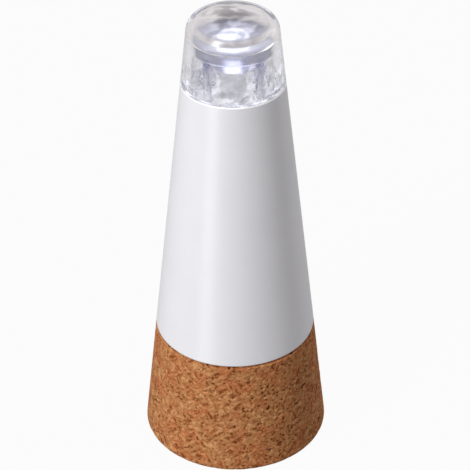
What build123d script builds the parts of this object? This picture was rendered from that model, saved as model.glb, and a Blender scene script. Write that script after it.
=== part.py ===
from build123d import *
import os
from math import cos, hypot, radians, sin, sqrt, tan

# Cork bottle light. Millimetres and degrees, +Z up, origin at the middle of the cork's foot.

# Cone that runs unbroken over cork, housing and clear tip
TAPER_ANGLE = 6.2
PARTING_GAP = 0.2

# Cork base and the cup glued into it
CORK_FLOOR = 2.2
CORK_FOOT_ROUND = 0.5
CORK_RIM_ROUND = 0.2
LINER_WALL = 1.1
LINER_FLOOR = 1.1
LINER_FLANGE_WIDTH = 1.0
LINER_FLANGE_THICKNESS = 1.2
LINER_PLUG_ROOM = 1.1
GLUE_GAP = 0.05
RIB_THICKNESS = 1.0
RIB_SPACING = 8.6
RIB_HEIGHT = 9.0
RIB_LEAD_IN = 0.5
RIB_FIT = 0.05

# Charging plug, type A, standing on end
PLUG_WIDTH = 12.0
PLUG_THICKNESS = 4.5
PLUG_SHEET = 0.3
PLUG_CORNER = 0.6
PLUG_REACH = 12.0
PLUG_END_GAP = 1.1
PLUG_SLOT_CLEARANCE = 0.15
PLUG_LEG_WIDTH = 1.6
WINDOW_WIDTH = 2.0
WINDOW_LENGTH = 2.5
WINDOW_SPACING = 4.6
WINDOW_FROM_TIP = 5.2
TONGUE_THICKNESS = 1.85
TONGUE_SETBACK = 0.5
TONGUE_TIP_CHAMFER = 0.4
INSERT_CLEARANCE = 0.05
CONTACT_WIDTH = 1.0
CONTACT_THICKNESS = 0.2
CONTACT_INNER_OFFSET = 1.0
CONTACT_OUTER_OFFSET = 3.5
CONTACT_INNER_SETBACK = 2.6
CONTACT_OUTER_SETBACK = 1.6
CONTACT_TAIL = 0.6

# White housing
HOUSING_WALL = 1.4
HOUSING_FOOT_ROUND = 0.3
HOUSING_RIM_ROUND = 0.15
HOUSING_RIM_WALL = 0.8
MOUTH_STEP = 0.25
BOSS_RADIUS = 2.1
BOSS_BOARD_GAP = 0.6
LIP_WIDTH = 1.2
LIP_THICKNESS = 1.0

# End plate, its screws and the posts that carry the base board
PLATE_THICKNESS = 1.8
PLATE_CLEARANCE = 0.1
PLATE_EDGE_ROUND = 0.2
SCREW_RADIUS = 0.8
SCREW_HEAD_RADIUS = 1.3
SCREW_SINK_ANGLE = 90.0
SCREW_CLEARANCE = 0.1
SCREW_EDGE = 1.95
SCREW_TIP_GAP = 0.4
SCREW_DRIVE_WIDTH = 0.35
SCREW_DRIVE_DEPTH = 0.3
SCREW_ANGLE = -44.0
PILOT_CLEARANCE = 0.02
POST_ANGLE = 44.0
POST_RADIUS = 1.3
POST_EDGE = 1.6
PEG_RADIUS = 0.6
PEG_CLEARANCE = 0.05

# Power button and the switch behind it
BUTTON_RADIUS = 1.7
BUTTON_PROUD = 0.6
BUTTON_ROUND = 0.3
BUTTON_TRAVEL = 0.4
BUTTON_CLEARANCE = 0.15
BUTTON_WEB = 0.95
BUTTON_FLANGE_RADIUS = 2.4
BUTTON_FLANGE_THICKNESS = 0.7
PLUNGER_RADIUS = 0.95
PLUNGER_REACH = 0.8
PLUNGER_COLLAR_WIDTH = 0.4
PLUNGER_COLLAR_THICKNESS = 0.6
PLUNGER_CLEARANCE = 0.15
SWITCH_WIDTH = 4.5
SWITCH_HEIGHT = 2.7
SWITCH_CORNER = 0.4
SWITCH_COVER_THICKNESS = 0.2
SWITCH_STROKE_ROOM = 0.3

# Base board and what is soldered to it
BOARD_THICKNESS = 1.0
BOARD_GAP = 0.35
BOARD_HOLE_CLEARANCE = 0.1
CHIP_WIDTH = 2.9
CHIP_DEPTH = 1.6
CHIP_HEIGHT = 1.0
CHIP_OFFSET = 2.6
PASSIVE_LENGTH = 1.6
PASSIVE_WIDTH = 0.8
PASSIVE_HEIGHT = 0.7
PASSIVE_SPACING = 5.2

# Cell, its holder and its tabs
CELL_DIAMETER = 10.0
CELL_LENGTH = 18.0
CELL_EDGE_ROUND = 0.5
CELL_NUB_RADIUS = 2.2
CELL_NUB_HEIGHT = 0.5
CELL_CLEARANCE = 0.1
CELL_EXPOSED = 1.2
CRADLE_WALL = 0.9
CRADLE_GAP = 0.4
CRADLE_SLOT_WIDTH = 6.6
CRADLE_EAR_THICKNESS = 1.4
CRADLE_EAR_WALL = 0.9
PARTS_ROOM = 1.2
SHELF_THICKNESS = 0.8
SHELF_WIDTH = 1.1
FOAM_THICKNESS = 0.4
FOAM_WIDTH = 2.4
TAB_THICKNESS = 0.2
TAB_WIDTH = 2.0
TAB_WELD_LENGTH = 1.6
TAB_OVERHANG = 1.1

# Leads
LEAD_DIAMETER = 0.8
LEAD_CELL_GAP = 0.2
LEAD_SLOT_GAP = 0.275
LEAD_LOOP_HEIGHT = 1.5
LEAD_LOOP_REACH = 2.1
LEAD_LOOP_BEND = 0.9
LEAD_SWEEP_BEND = 3.0
LEAD_TOP_INSET = 2.0
LEAD_HEADROOM = 4.95

# Lamp board, lamp and lenses in the tip
LED_BOARD_THICKNESS = 1.0
LED_BOARD_CLEARANCE = 0.1
LED_STEM_RADIUS = 1.75
LED_STEM_HEIGHT = 3.6
LED_PACKAGE_WIDTH = 3.5
LED_PACKAGE_HEIGHT = 0.8
LED_PACKAGE_CORNER = 0.4
LED_DOME_RADIUS = 1.5
LED_PHOSPHOR_WIDTH = 1.4
LED_PHOSPHOR_HEIGHT = 0.15
LENS_LIFT = 0.2
LENS_REAR_RADIUS = 2.45
LENS_POCKET_CLEARANCE = 0.35
LENS_POCKET_CROWN = 0.5
LENS_DEPTH = 2.4
LENS_SIDE_BULGE = 0.5
LENS_SIDE_STEP = 0.35
LENS_RIM_THICKNESS = 1.4
LENS_RIM_CLEARANCE = 0.05
LENS_RECESS_RADIUS = 1.8
LENS_RECESS_DEPTH = 0.9
LENS_RECESS_CROWN = 1.0
LENS_LEG_RADIUS = 0.5
LENS_LEG_COUNT = 4
LENS_LEG_ANGLE = 45
LENS_LEG_EDGE = 0.1
SPIGOT_LENGTH = 2.2
SPIGOT_WALL = 0.35
LEDGE_GAP = 0.05
LEDGE_WIDTH = 0.4
CAP_WALL = 1.0
CAP_CEILING_SIDE = 0.53
CAP_CEILING_RISE = 0.97
CAP_CEILING_ROUND = 0.7
CAP_ROOF = 2.0
CAP_SHOULDER_ROUND = 1.7
CAP_CROWN_RISE = 1.45

# Heights above the table, stacked from the foot to the tip
liner_floor_top = CORK_FLOOR + LINER_FLOOR
plug_tip = liner_floor_top + PLUG_END_GAP
housing_foot = plug_tip + PLUG_REACH
cork_top = housing_foot - PARTING_GAP
flange_bottom = housing_foot - LINER_FLANGE_THICKNESS
rib_top = liner_floor_top + RIB_HEIGHT
plate_top = housing_foot + PLATE_THICKNESS
button_bottom = housing_foot - BUTTON_PROUD
button_top = plate_top + BUTTON_FLANGE_THICKNESS
cover_bottom = button_top + PLUNGER_REACH
case_bottom = cover_bottom + SWITCH_COVER_THICKNESS
board_bottom = case_bottom + SWITCH_HEIGHT
board_top = board_bottom + BOARD_THICKNESS
boss_top = board_bottom - BOSS_BOARD_GAP
shelf_bottom = board_top + PARTS_ROOM
shelf_top = shelf_bottom + SHELF_THICKNESS
low_tab_bottom = shelf_top + FOAM_THICKNESS
cell_bottom = low_tab_bottom + TAB_THICKNESS
cell_top = cell_bottom + CELL_LENGTH
can_top = cell_top - CELL_NUB_HEIGHT
cradle_top = can_top - CELL_EXPOSED
high_tab_top = cell_top + TAB_THICKNESS
lip_bottom = high_tab_top + LEAD_HEADROOM
led_board_bottom = lip_bottom + LIP_THICKNESS
led_board_top = led_board_bottom + LED_BOARD_THICKNESS
housing_top = led_board_top + SPIGOT_LENGTH
package_bottom = led_board_top + LED_STEM_HEIGHT
package_top = package_bottom + LED_PACKAGE_HEIGHT
lens_rear = package_top + LENS_LIFT
lens_rim_bottom = lens_rear + LENS_DEPTH
lens_front = lens_rim_bottom + LENS_RIM_THICKNESS
cap_ledge = lens_front + LEDGE_GAP
ceiling_edge = cap_ledge + CAP_CEILING_SIDE
cap_ceiling = ceiling_edge + CAP_CEILING_RISE
tip = cap_ceiling + CAP_ROOF
cap_shoulder = tip - CAP_CROWN_RISE

# Radii, worked outwards from the cell and the plug
cell_radius = CELL_DIAMETER / 2
cradle_bore = cell_radius + CELL_CLEARANCE
cradle_radius = cradle_bore + CRADLE_WALL
cone_radius_at_cradle = cradle_radius + CRADLE_GAP + HOUSING_WALL


def cone_radius(height):
    """Radius of the outer cone at a height above the table."""
    return cone_radius_at_cradle + (cradle_top - height) * tan(radians(TAPER_ANGLE))


def wall_radius(height):
    """Radius of the housing's inner wall at a height above the table."""
    return cone_radius(height) - HOUSING_WALL


liner_bore = hypot(PLUG_WIDTH / 2, PLUG_THICKNESS / 2) + LINER_PLUG_ROOM
liner_radius = liner_bore + LINER_WALL
flange_radius = liner_radius + LINER_FLANGE_WIDTH
rib_root_radius = liner_bore + LINER_WALL / 2
mouth_radius = wall_radius(plate_top) + MOUTH_STEP
plate_radius = mouth_radius - PLATE_CLEARANCE
screw_circle = plate_radius - SCREW_EDGE
board_radius = wall_radius(board_top) - BOARD_GAP
post_circle = board_radius - POST_EDGE
cap_bore = cone_radius(housing_top) - HOUSING_RIM_WALL
lip_radius = cap_bore - LIP_WIDTH
led_board_radius = cap_bore - LED_BOARD_CLEARANCE
spigot_radius = cap_bore - GLUE_GAP
spigot_bore = spigot_radius - SPIGOT_WALL
ledge_radius = cone_radius(cap_ledge) - CAP_WALL
ceiling_radius = ledge_radius - LEDGE_WIDTH
lens_rim_radius = ledge_radius - LENS_RIM_CLEARANCE
lens_pocket = LED_DOME_RADIUS + LENS_POCKET_CLEARANCE

# Places of the button, screws and posts on the end plate, and of the leads on the base board
slot_edge = PLUG_THICKNESS / 2 + PLUG_SLOT_CLEARANCE
button_hole = BUTTON_RADIUS + BUTTON_CLEARANCE
button_y = slot_edge + BUTTON_WEB + button_hole
screw_spots = [
    (side * screw_circle * cos(radians(SCREW_ANGLE)), side * screw_circle * sin(radians(SCREW_ANGLE)))
    for side in (1, -1)
]
post_spots = [
    (side * post_circle * cos(radians(POST_ANGLE)), side * post_circle * sin(radians(POST_ANGLE)))
    for side in (1, -1)
]
contact_setbacks = {
    -CONTACT_OUTER_OFFSET: CONTACT_OUTER_SETBACK,
    -CONTACT_INNER_OFFSET: CONTACT_INNER_SETBACK,
    CONTACT_INNER_OFFSET: CONTACT_INNER_SETBACK,
    CONTACT_OUTER_OFFSET: CONTACT_OUTER_SETBACK,
}
lead_radius = LEAD_DIAMETER / 2
lead_circle = cell_radius + LEAD_CELL_GAP + lead_radius
outer_lead_x = CRADLE_SLOT_WIDTH / 2 - LEAD_SLOT_GAP - lead_radius
inner_lead_x = outer_lead_x / 3


def lead_foot(x):
    """X and Y of a lead on the circle round the cell; four leads stand evenly across the slot."""
    return x, -sqrt(lead_circle**2 - x**2)


os.makedirs("parts", exist_ok=True)

# Cork sleeve: tapered outside, blind bore and a counterbore for the liner's flange
with BuildPart() as cork_sleeve:
    with BuildSketch(Plane.XZ) as cork_section:
        with BuildLine():
            Polyline(
                (0, 0),
                (cone_radius(0), 0),
                (cone_radius(cork_top), cork_top),
                (flange_radius + GLUE_GAP, cork_top),
                (flange_radius + GLUE_GAP, flange_bottom),
                (liner_radius + GLUE_GAP, flange_bottom),
                (liner_radius + GLUE_GAP, CORK_FLOOR),
                (0, CORK_FLOOR),
                close=True,
            )
        make_face()
        fillet(cork_section.vertices().sort_by(Axis.X)[-1], CORK_FOOT_ROUND)
        fillet(cork_section.vertices().group_by(Axis.Y)[-1].sort_by(Axis.X)[-1], CORK_RIM_ROUND)
    revolve(axis=Axis.Z)
cork_sleeve.part.label = "cork_sleeve"
export_step(cork_sleeve.part, "parts/cork_sleeve.step")

# Cork liner: flanged cup whose ribs grip the plug on its broad faces and its ends
with BuildPart() as cork_liner:
    with BuildSketch(Plane.XZ):
        with BuildLine():
            Polyline(
                (0, CORK_FLOOR),
                (liner_radius, CORK_FLOOR),
                (liner_radius, flange_bottom),
                (flange_radius, flange_bottom),
                (flange_radius, housing_foot),
                (liner_bore, housing_foot),
                (liner_bore, liner_floor_top),
                (0, liner_floor_top),
                close=True,
            )
        make_face()
    revolve(axis=Axis.Z)
    broad_face = PLUG_THICKNESS / 2 + RIB_FIT
    broad_root = sqrt(rib_root_radius**2 - ((RIB_SPACING + RIB_THICKNESS) / 2) ** 2)
    end_face = PLUG_WIDTH / 2 + RIB_FIT
    for y_side in (-1, 1):
        for x_side in (-1, 1):
            with BuildSketch(Plane.YZ.offset(x_side * RIB_SPACING / 2)):
                with BuildLine():
                    Polyline(
                        (y_side * broad_face, liner_floor_top),
                        (y_side * broad_root, liner_floor_top),
                        (y_side * broad_root, rib_top),
                        (y_side * (broad_face + RIB_LEAD_IN), rib_top),
                        (y_side * broad_face, rib_top - RIB_LEAD_IN),
                        close=True,
                    )
                make_face()
            extrude(amount=RIB_THICKNESS / 2, both=True)
    for x_side in (-1, 1):
        with BuildSketch(Plane.XZ):
            with BuildLine():
                Polyline(
                    (x_side * end_face, liner_floor_top),
                    (x_side * rib_root_radius, liner_floor_top),
                    (x_side * rib_root_radius, rib_top),
                    (x_side * (end_face + RIB_LEAD_IN), rib_top),
                    (x_side * end_face, rib_top - RIB_LEAD_IN),
                    close=True,
                )
            make_face()
        extrude(amount=RIB_THICKNESS / 2, both=True)
cork_liner.part.label = "cork_liner"
export_step(cork_liner.part, "parts/cork_liner.step")

# Housing shell: tapered tube with a lip for the lamp board and two screw bosses at the wide end
with BuildPart() as housing_shell:
    with BuildSketch(Plane.XZ) as housing_section:
        with BuildLine():
            Polyline(
                (cone_radius(housing_foot), housing_foot),
                (cone_radius(housing_top), housing_top),
                (cap_bore, housing_top),
                (cap_bore, led_board_bottom),
                (lip_radius, led_board_bottom),
                (lip_radius, lip_bottom),
                (wall_radius(lip_bottom), lip_bottom),
                (wall_radius(plate_top), plate_top),
                (mouth_radius, plate_top),
                (mouth_radius, housing_foot),
                close=True,
            )
        make_face()
        fillet(housing_section.vertices().sort_by(Axis.X)[-1], HOUSING_FOOT_ROUND)
        fillet(housing_section.vertices().group_by(Axis.Y)[-1].sort_by(Axis.X)[-1], HOUSING_RIM_ROUND)
    revolve(axis=Axis.Z)
    with BuildSketch(Plane.XY.offset(plate_top)):
        with Locations(*screw_spots):
            Circle(BOSS_RADIUS)
    extrude(amount=boss_top - plate_top)
    with BuildSketch(Plane.XY.offset(plate_top)):
        with Locations(*screw_spots):
            Circle(SCREW_RADIUS + PILOT_CLEARANCE)
    extrude(amount=boss_top - plate_top, mode=Mode.SUBTRACT)
housing_shell.part.label = "housing_shell"
export_step(housing_shell.part, "parts/housing_shell.step")

# End plate: closes the housing, lets the plug and button through, and carries the base board
with BuildPart() as end_plate:
    with BuildSketch(Plane.XY.offset(housing_foot)):
        Circle(plate_radius)
        RectangleRounded(
            PLUG_WIDTH + 2 * PLUG_SLOT_CLEARANCE,
            PLUG_THICKNESS + 2 * PLUG_SLOT_CLEARANCE,
            PLUG_CORNER + PLUG_SLOT_CLEARANCE,
            mode=Mode.SUBTRACT,
        )
        with Locations((0, button_y)):
            Circle(button_hole, mode=Mode.SUBTRACT)
    extrude(amount=PLATE_THICKNESS)
    rim_edge = end_plate.faces().sort_by(Axis.Z)[0].edges().filter_by(GeomType.CIRCLE).sort_by(SortBy.RADIUS)
    fillet(rim_edge[-1], PLATE_EDGE_ROUND)
    with BuildSketch(Plane.XY.offset(plate_top)):
        with Locations(*post_spots):
            Circle(POST_RADIUS)
    extrude(amount=board_bottom - plate_top)
    with BuildSketch(Plane.XY.offset(board_bottom)):
        with Locations(*post_spots):
            Circle(PEG_RADIUS)
    extrude(amount=BOARD_THICKNESS + CRADLE_EAR_THICKNESS)
    with Locations(*[Location((x, y, housing_foot), (180, 0, 0)) for x, y in screw_spots]):
        CounterSinkHole(
            SCREW_RADIUS + SCREW_CLEARANCE,
            SCREW_HEAD_RADIUS + SCREW_CLEARANCE,
            depth=PLATE_THICKNESS,
            counter_sink_angle=SCREW_SINK_ANGLE,
        )
end_plate.part.label = "end_plate"
export_step(end_plate.part, "parts/end_plate.step")

# End plate screws: countersunk, with a cross drive
with BuildPart() as end_plate_screws:
    head_height = (SCREW_HEAD_RADIUS - SCREW_RADIUS) / tan(radians(SCREW_SINK_ANGLE / 2))
    with BuildSketch(Plane.XZ):
        with BuildLine():
            Polyline(
                (0, housing_foot),
                (SCREW_HEAD_RADIUS, housing_foot),
                (SCREW_RADIUS, housing_foot + head_height),
                (SCREW_RADIUS, boss_top - SCREW_TIP_GAP - SCREW_RADIUS),
                (0, boss_top - SCREW_TIP_GAP),
                close=True,
            )
        make_face()
    revolve(axis=Axis.Z)
    with BuildSketch(Plane.XY.offset(housing_foot)):
        Rectangle(2 * SCREW_RADIUS, SCREW_DRIVE_WIDTH)
        Rectangle(SCREW_DRIVE_WIDTH, 2 * SCREW_RADIUS)
    extrude(amount=SCREW_DRIVE_DEPTH, mode=Mode.SUBTRACT)
screw_pair = Compound(children=[Pos(x, y, 0) * end_plate_screws.part for x, y in screw_spots])
screw_pair.label = "end_plate_screws"
export_step(screw_pair, "parts/end_plate_screws.step")

# Power button: stem through the end plate, held by a flange inside
with BuildPart() as button_cap:
    with Locations((0, button_y, button_bottom)):
        Cylinder(BUTTON_RADIUS, plate_top - button_bottom, align=(Align.CENTER, Align.CENTER, Align.MIN))
    fillet(button_cap.edges().group_by(Axis.Z)[0], BUTTON_ROUND)
    with Locations((0, button_y, plate_top)):
        Cylinder(
            BUTTON_FLANGE_RADIUS,
            BUTTON_FLANGE_THICKNESS,
            align=(Align.CENTER, Align.CENTER, Align.MIN),
        )
button_cap.part.label = "button_cap"
export_step(button_cap.part, "parts/button_cap.step")

# Switch plunger: stands on the button, its collar runs in the switch case
collar_radius = PLUNGER_RADIUS + PLUNGER_COLLAR_WIDTH
with BuildPart() as switch_plunger:
    with BuildSketch(Plane.XY.offset(button_top)):
        with Locations((0, button_y)):
            Circle(PLUNGER_RADIUS)
    extrude(amount=case_bottom - button_top)
    with BuildSketch(Plane.XY.offset(case_bottom)):
        with Locations((0, button_y)):
            Circle(collar_radius)
    extrude(amount=PLUNGER_COLLAR_THICKNESS)
switch_plunger.part.label = "switch_plunger"
export_step(switch_plunger.part, "parts/switch_plunger.step")

# Switch cover: stamped plate that keeps the plunger in
with BuildPart() as switch_cover:
    with BuildSketch(Plane.XY.offset(cover_bottom)):
        with Locations((0, button_y)):
            RectangleRounded(SWITCH_WIDTH, SWITCH_WIDTH, SWITCH_CORNER)
            Circle(PLUNGER_RADIUS + PLUNGER_CLEARANCE, mode=Mode.SUBTRACT)
    extrude(amount=SWITCH_COVER_THICKNESS)
switch_cover.part.label = "switch_cover"
export_step(switch_cover.part, "parts/switch_cover.step")

# Switch case: moulded block on the underside of the base board
with BuildPart() as switch_case:
    with BuildSketch(Plane.XY.offset(case_bottom)):
        with Locations((0, button_y)):
            RectangleRounded(SWITCH_WIDTH, SWITCH_WIDTH, SWITCH_CORNER)
    extrude(amount=SWITCH_HEIGHT)
    with BuildSketch(Plane.XY.offset(case_bottom)):
        with Locations((0, button_y)):
            Circle(collar_radius + PLUNGER_CLEARANCE)
    extrude(amount=PLUNGER_COLLAR_THICKNESS + BUTTON_TRAVEL + SWITCH_STROKE_ROOM, mode=Mode.SUBTRACT)
switch_case.part.label = "switch_case"
export_step(switch_case.part, "parts/switch_case.step")

# Plug shell: folded sheet with latch windows on both broad faces and two legs into the board
inner_width = PLUG_WIDTH - 2 * PLUG_SHEET
inner_thickness = PLUG_THICKNESS - 2 * PLUG_SHEET
with BuildPart() as plug_shell:
    with BuildSketch(Plane.XY.offset(plug_tip)):
        RectangleRounded(PLUG_WIDTH, PLUG_THICKNESS, PLUG_CORNER)
        RectangleRounded(inner_width, inner_thickness, PLUG_CORNER - PLUG_SHEET, mode=Mode.SUBTRACT)
    extrude(amount=board_bottom - plug_tip)
    with BuildSketch(Plane.XZ):
        with Locations((0, plug_tip + WINDOW_FROM_TIP)):
            with GridLocations(WINDOW_SPACING, 0, 2, 1):
                Rectangle(WINDOW_WIDTH, WINDOW_LENGTH)
    extrude(amount=PLUG_THICKNESS, both=True, mode=Mode.SUBTRACT)
    with BuildSketch(Plane.XY.offset(board_bottom)):
        with GridLocations(PLUG_WIDTH - PLUG_SHEET, 0, 2, 1):
            Rectangle(PLUG_SHEET, PLUG_LEG_WIDTH)
    extrude(amount=BOARD_THICKNESS)
plug_shell.part.label = "plug_shell"
export_step(plug_shell.part, "parts/plug_shell.step")

# Plug contacts: four flat springs on the tongue, with tails through the board
tongue_back = -inner_thickness / 2
tongue_face = tongue_back + TONGUE_THICKNESS
contact_tail_top = board_top + CONTACT_TAIL
with BuildPart() as plug_contacts:
    for offset, setback in contact_setbacks.items():
        with BuildSketch(Plane.XY.offset(plug_tip + setback)):
            with Locations((offset, tongue_face + CONTACT_THICKNESS / 2)):
                Rectangle(CONTACT_WIDTH, CONTACT_THICKNESS)
        extrude(amount=contact_tail_top - plug_tip - setback)
plug_contacts.part.label = "plug_contacts"
export_step(plug_contacts.part, "parts/plug_contacts.step")

# Plug tongue: insulator with a thin blade in the mouth and a block behind that fills the shell
with BuildPart() as plug_tongue:
    with BuildSketch(Plane.XY.offset(housing_foot)):
        Rectangle(inner_width - 2 * PLUG_CORNER, inner_thickness)
    extrude(amount=board_bottom - housing_foot)
    with BuildSketch(Plane.XY.offset(housing_foot)):
        with Locations((0, (tongue_back + tongue_face) / 2)):
            Rectangle(inner_width - 2 * PLUG_CORNER, TONGUE_THICKNESS)
    extrude(amount=plug_tip + TONGUE_SETBACK - housing_foot)
    blade_edges = plug_tongue.edges().group_by(Axis.Z)[0].filter_by(Axis.X)
    chamfer(blade_edges, TONGUE_TIP_CHAMFER)
    with BuildSketch(Plane.XY.offset(housing_foot)):
        with Locations((0, tongue_face + CONTACT_THICKNESS / 2)):
            for offset in contact_setbacks:
                with Locations((offset, 0)):
                    Rectangle(CONTACT_WIDTH + 2 * INSERT_CLEARANCE, CONTACT_THICKNESS)
    extrude(amount=board_bottom - housing_foot, mode=Mode.SUBTRACT)
plug_tongue.part.label = "plug_tongue"
export_step(plug_tongue.part, "parts/plug_tongue.step")

# Base board: round, pinned on the posts, with slots for the plug's legs and tails
with BuildPart() as base_board:
    with BuildSketch(Plane.XY.offset(board_bottom)):
        Circle(board_radius)
        with Locations(*post_spots):
            Circle(PEG_RADIUS + PEG_CLEARANCE, mode=Mode.SUBTRACT)
        with GridLocations(PLUG_WIDTH - PLUG_SHEET, 0, 2, 1):
            Rectangle(
                PLUG_SHEET + 2 * BOARD_HOLE_CLEARANCE,
                PLUG_LEG_WIDTH + 2 * BOARD_HOLE_CLEARANCE,
                mode=Mode.SUBTRACT,
            )
        with Locations(*[(offset, tongue_face + CONTACT_THICKNESS / 2) for offset in contact_setbacks]):
            Circle(CONTACT_WIDTH / 2 + BOARD_HOLE_CLEARANCE, mode=Mode.SUBTRACT)
    extrude(amount=BOARD_THICKNESS)
base_board.part.label = "base_board"
export_step(base_board.part, "parts/base_board.step")

# Charge chip, on the board inside the cradle's foot
with BuildPart() as charge_chip:
    with BuildSketch(Plane.XY.offset(board_top)):
        with Locations((0, CHIP_OFFSET)):
            Rectangle(CHIP_WIDTH, CHIP_DEPTH)
    extrude(amount=CHIP_HEIGHT)
charge_chip.part.label = "charge_chip"
export_step(charge_chip.part, "parts/charge_chip.step")

# Small parts on the board, either side of the chip and opposite it
with BuildPart() as board_passives:
    with BuildSketch(Plane.XY.offset(board_top)):
        with GridLocations(PASSIVE_SPACING, 2 * CHIP_OFFSET, 2, 2):
            Rectangle(PASSIVE_WIDTH, PASSIVE_LENGTH)
        with Locations((0, -CHIP_OFFSET)):
            Rectangle(PASSIVE_LENGTH, PASSIVE_WIDTH)
    extrude(amount=PASSIVE_HEIGHT)
board_passives.part.label = "board_passives"
export_step(board_passives.part, "parts/board_passives.step")

# Cell cradle: open sleeve pinned to the board by two ears, with a shelf under the cell
with BuildPart() as cell_cradle:
    with BuildSketch(Plane.XY.offset(board_top)):
        Circle(cradle_radius)
    extrude(amount=cradle_top - board_top)
    with BuildSketch(Plane.XY.offset(board_top)):
        with Locations(*post_spots):
            Circle(PEG_RADIUS + CRADLE_EAR_WALL)
    extrude(amount=CRADLE_EAR_THICKNESS)
    with BuildSketch(Plane.XY.offset(board_top)):
        with Locations(*post_spots):
            Circle(PEG_RADIUS + PEG_CLEARANCE)
    extrude(amount=CRADLE_EAR_THICKNESS, mode=Mode.SUBTRACT)
    with BuildSketch(Plane.XY.offset(board_top)):
        Circle(cradle_bore)
    extrude(amount=PARTS_ROOM, mode=Mode.SUBTRACT)
    with BuildSketch(Plane.XY.offset(shelf_bottom)):
        Circle(cradle_bore - SHELF_WIDTH)
    extrude(amount=SHELF_THICKNESS, mode=Mode.SUBTRACT)
    with BuildSketch(Plane.XY.offset(shelf_top)):
        Circle(cradle_bore)
    extrude(amount=cradle_top - shelf_top, mode=Mode.SUBTRACT)
    with BuildSketch(Plane.XY.offset(board_top)):
        Rectangle(CRADLE_SLOT_WIDTH, cradle_radius, align=(Align.CENTER, Align.MAX))
    extrude(amount=cradle_top - board_top, mode=Mode.SUBTRACT)
cell_cradle.part.label = "cell_cradle"
export_step(cell_cradle.part, "parts/cell_cradle.step")

# Foam ring between the shelf and the cell, cut away at the cradle's slot
with BuildPart() as foam_pad:
    with BuildSketch(Plane.XY.offset(shelf_top)):
        Circle(cell_radius)
        Circle(cell_radius - FOAM_WIDTH, mode=Mode.SUBTRACT)
        Rectangle(CRADLE_SLOT_WIDTH, cell_radius, align=(Align.CENTER, Align.MAX), mode=Mode.SUBTRACT)
    extrude(amount=FOAM_THICKNESS)
foam_pad.part.label = "foam_pad"
export_step(foam_pad.part, "parts/foam_pad.step")

# Battery cell: rounded can with a raised pole
with BuildPart() as battery_cell:
    with BuildSketch(Plane.XY.offset(cell_bottom)):
        Circle(cell_radius)
    extrude(amount=can_top - cell_bottom)
    fillet(battery_cell.edges().filter_by(GeomType.CIRCLE), CELL_EDGE_ROUND)
    with BuildSketch(Plane.XY.offset(can_top)):
        Circle(CELL_NUB_RADIUS)
    extrude(amount=CELL_NUB_HEIGHT)
battery_cell.part.label = "battery_cell"
export_step(battery_cell.part, "parts/battery_cell.step")

# Battery tabs: welded strips, one on the pole and one under the can that sticks out at the slot
red_x, red_y = lead_foot(inner_lead_x)
black_x, black_y = lead_foot(-inner_lead_x)
loop_start_y = red_y + LEAD_LOOP_REACH
with BuildPart() as battery_tabs:
    with BuildSketch(Plane.XY.offset(cell_top)):
        with Locations((red_x, TAB_WELD_LENGTH)):
            Rectangle(
                TAB_WIDTH,
                TAB_WELD_LENGTH - loop_start_y + lead_radius,
                align=(Align.CENTER, Align.MAX),
            )
    extrude(amount=TAB_THICKNESS)
    with BuildSketch(Plane.XY.offset(low_tab_bottom)):
        with Locations((black_x, TAB_WELD_LENGTH)):
            Rectangle(
                TAB_WIDTH - lead_radius,
                TAB_WELD_LENGTH + cell_radius + TAB_OVERHANG,
                align=(Align.CENTER, Align.MAX),
            )
    extrude(amount=TAB_THICKNESS)
battery_tabs.part.label = "battery_tabs"
export_step(battery_tabs.part, "parts/battery_tabs.step")

# Red battery lead: up from the high tab, over the cell's shoulder and down the slot to the board
with BuildPart() as battery_lead_red:
    with BuildLine() as red_route:
        FilletPolyline(
            (red_x, loop_start_y, high_tab_top),
            (red_x, loop_start_y, high_tab_top + LEAD_LOOP_HEIGHT),
            (red_x, red_y, high_tab_top + LEAD_LOOP_HEIGHT),
            (red_x, red_y, board_top),
            radius=LEAD_LOOP_BEND,
        )
    with BuildSketch(Plane(origin=red_route.line @ 0, z_dir=red_route.line % 0)):
        Circle(lead_radius)
    sweep(path=red_route.line)
battery_lead_red.part.label = "battery_lead_red"
export_step(battery_lead_red.part, "parts/battery_lead_red.step")

# Black battery lead: straight from the low tab to the board
with BuildPart() as battery_lead_black:
    with BuildSketch(Plane.XY.offset(board_top)):
        with Locations((black_x, black_y)):
            Circle(lead_radius)
    extrude(amount=low_tab_bottom - board_top)
battery_lead_black.part.label = "battery_lead_black"
export_step(battery_lead_black.part, "parts/battery_lead_black.step")

# Lamp leads: up the slot beside the cell, then inwards to pads under the lamp board
led_leads = {"led_lead_red": outer_lead_x, "led_lead_black": -outer_lead_x}
for lead_name, lead_x in led_leads.items():
    foot_x, foot_y = lead_foot(lead_x)
    with BuildPart() as led_lead:
        with BuildLine() as led_route:
            FilletPolyline(
                (foot_x, foot_y, board_top),
                (foot_x, foot_y, high_tab_top),
                (foot_x, foot_y + LEAD_TOP_INSET, high_tab_top + LEAD_HEADROOM / 2),
                (foot_x, foot_y + LEAD_TOP_INSET, led_board_bottom),
                radius=LEAD_SWEEP_BEND,
            )
        with BuildSketch(Plane(origin=led_route.line @ 0, z_dir=led_route.line % 0)):
            Circle(lead_radius)
        sweep(path=led_route.line)
    led_lead.part.label = lead_name
    export_step(led_lead.part, f"parts/{lead_name}.step")

# Lamp board: white disc on the housing's lip
with BuildPart() as led_board:
    with BuildSketch(Plane.XY.offset(led_board_bottom)):
        Circle(led_board_radius)
    extrude(amount=LED_BOARD_THICKNESS)
led_board.part.label = "led_board"
export_step(led_board.part, "parts/led_board.step")

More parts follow.
